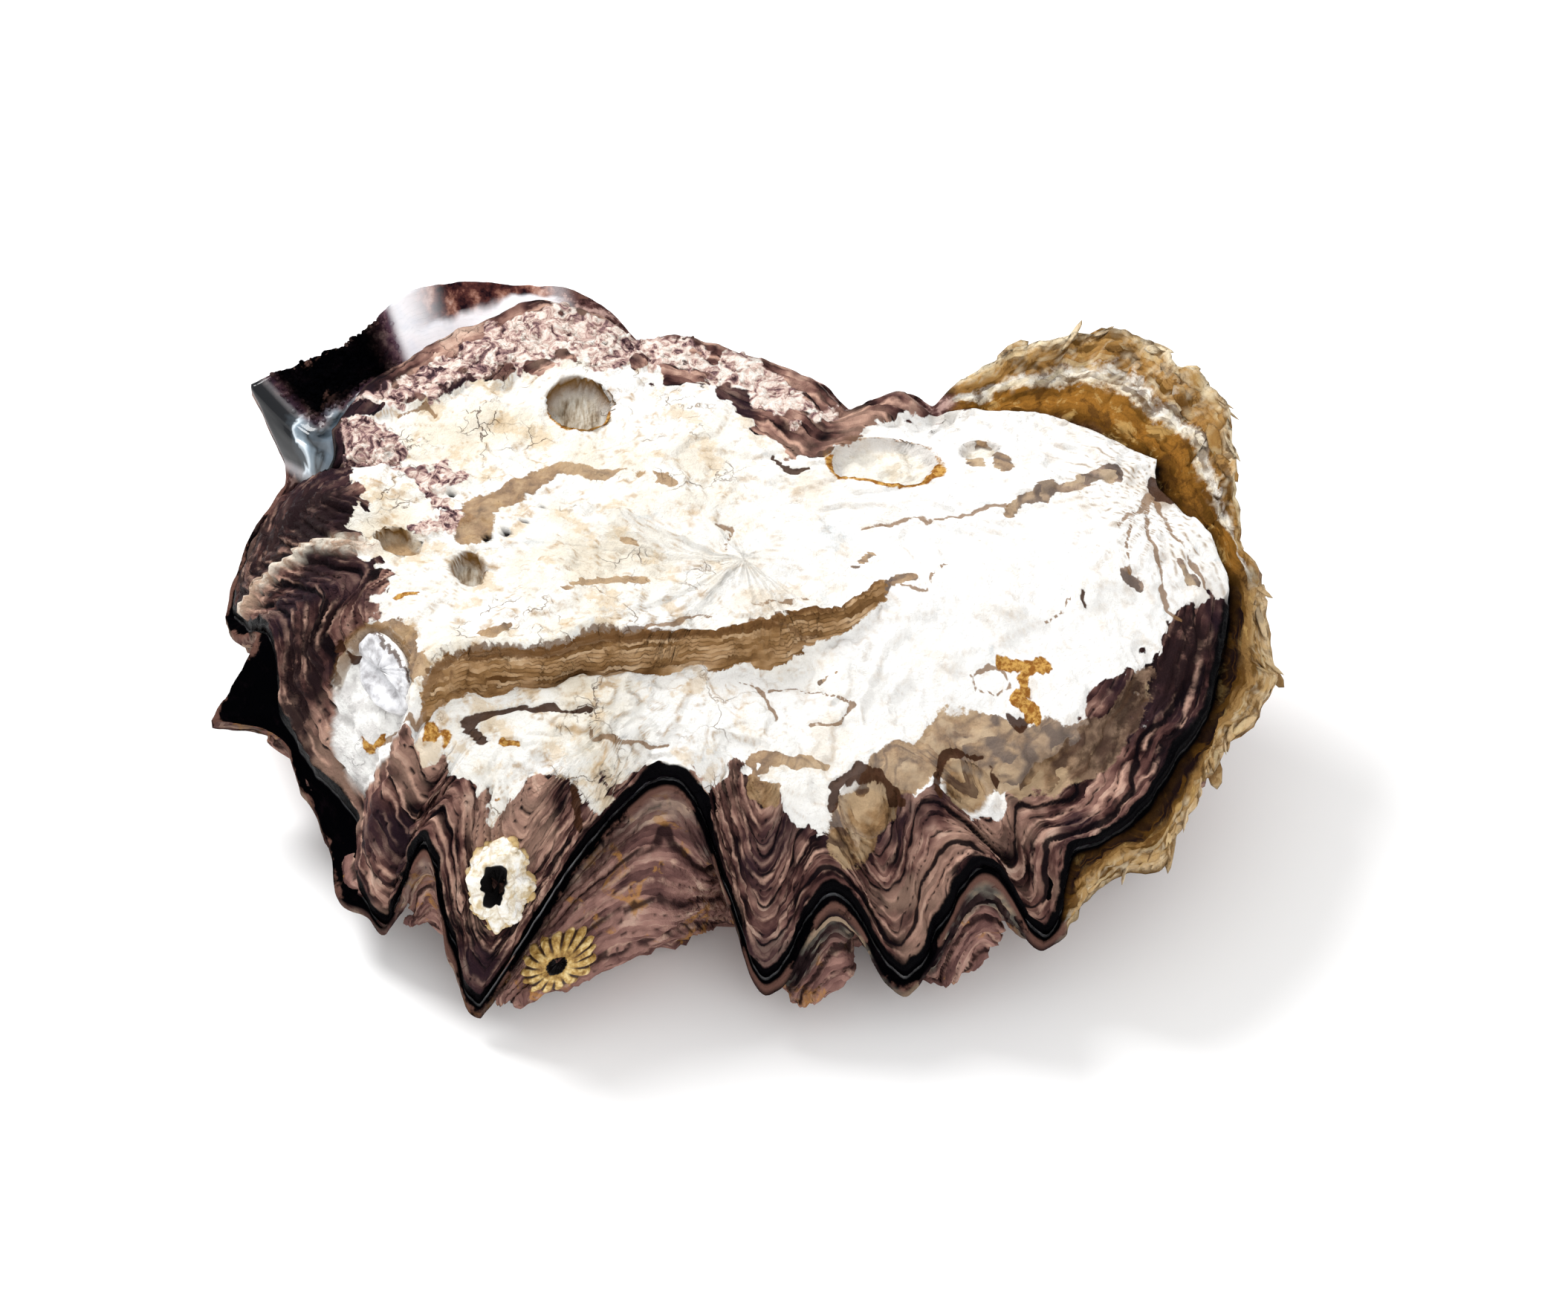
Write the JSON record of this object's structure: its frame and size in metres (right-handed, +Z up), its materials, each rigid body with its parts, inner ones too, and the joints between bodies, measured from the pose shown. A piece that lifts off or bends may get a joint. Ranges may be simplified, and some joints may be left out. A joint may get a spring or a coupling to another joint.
{
  "type": "cockscomb oyster shell",
  "caption": "Closed oyster shell with a sharply pleated zigzag margin, a worn chalky top, a golden hinge hollow and small barnacles, lying on its flat attachment scar.",
  "frame": {"origin": "centre of the bounding box's underside, on the surface that the shell lies on", "axes": "+X towards the hinge, along the longest side; +Y towards the low crinkled back margin; +Z up, out of the upper valve"},
  "size_m": [0.1102, 0.0768, 0.0365],
  "materials": {
    "upper_shell": "chalky",
    "lower_shell": "satin",
    "barnacle": "matte",
    "gold_barnacle": "satin",
    "nacre": "pearly"
  },
  "bodies": {
    "root": {"upper_valve": "upper_shell", "lower_valve": "lower_shell", "white_barnacle": "barnacle", "gold_barnacle": "gold_barnacle", "young_oyster_valve": "nacre"}
  },
  "joints": []
}
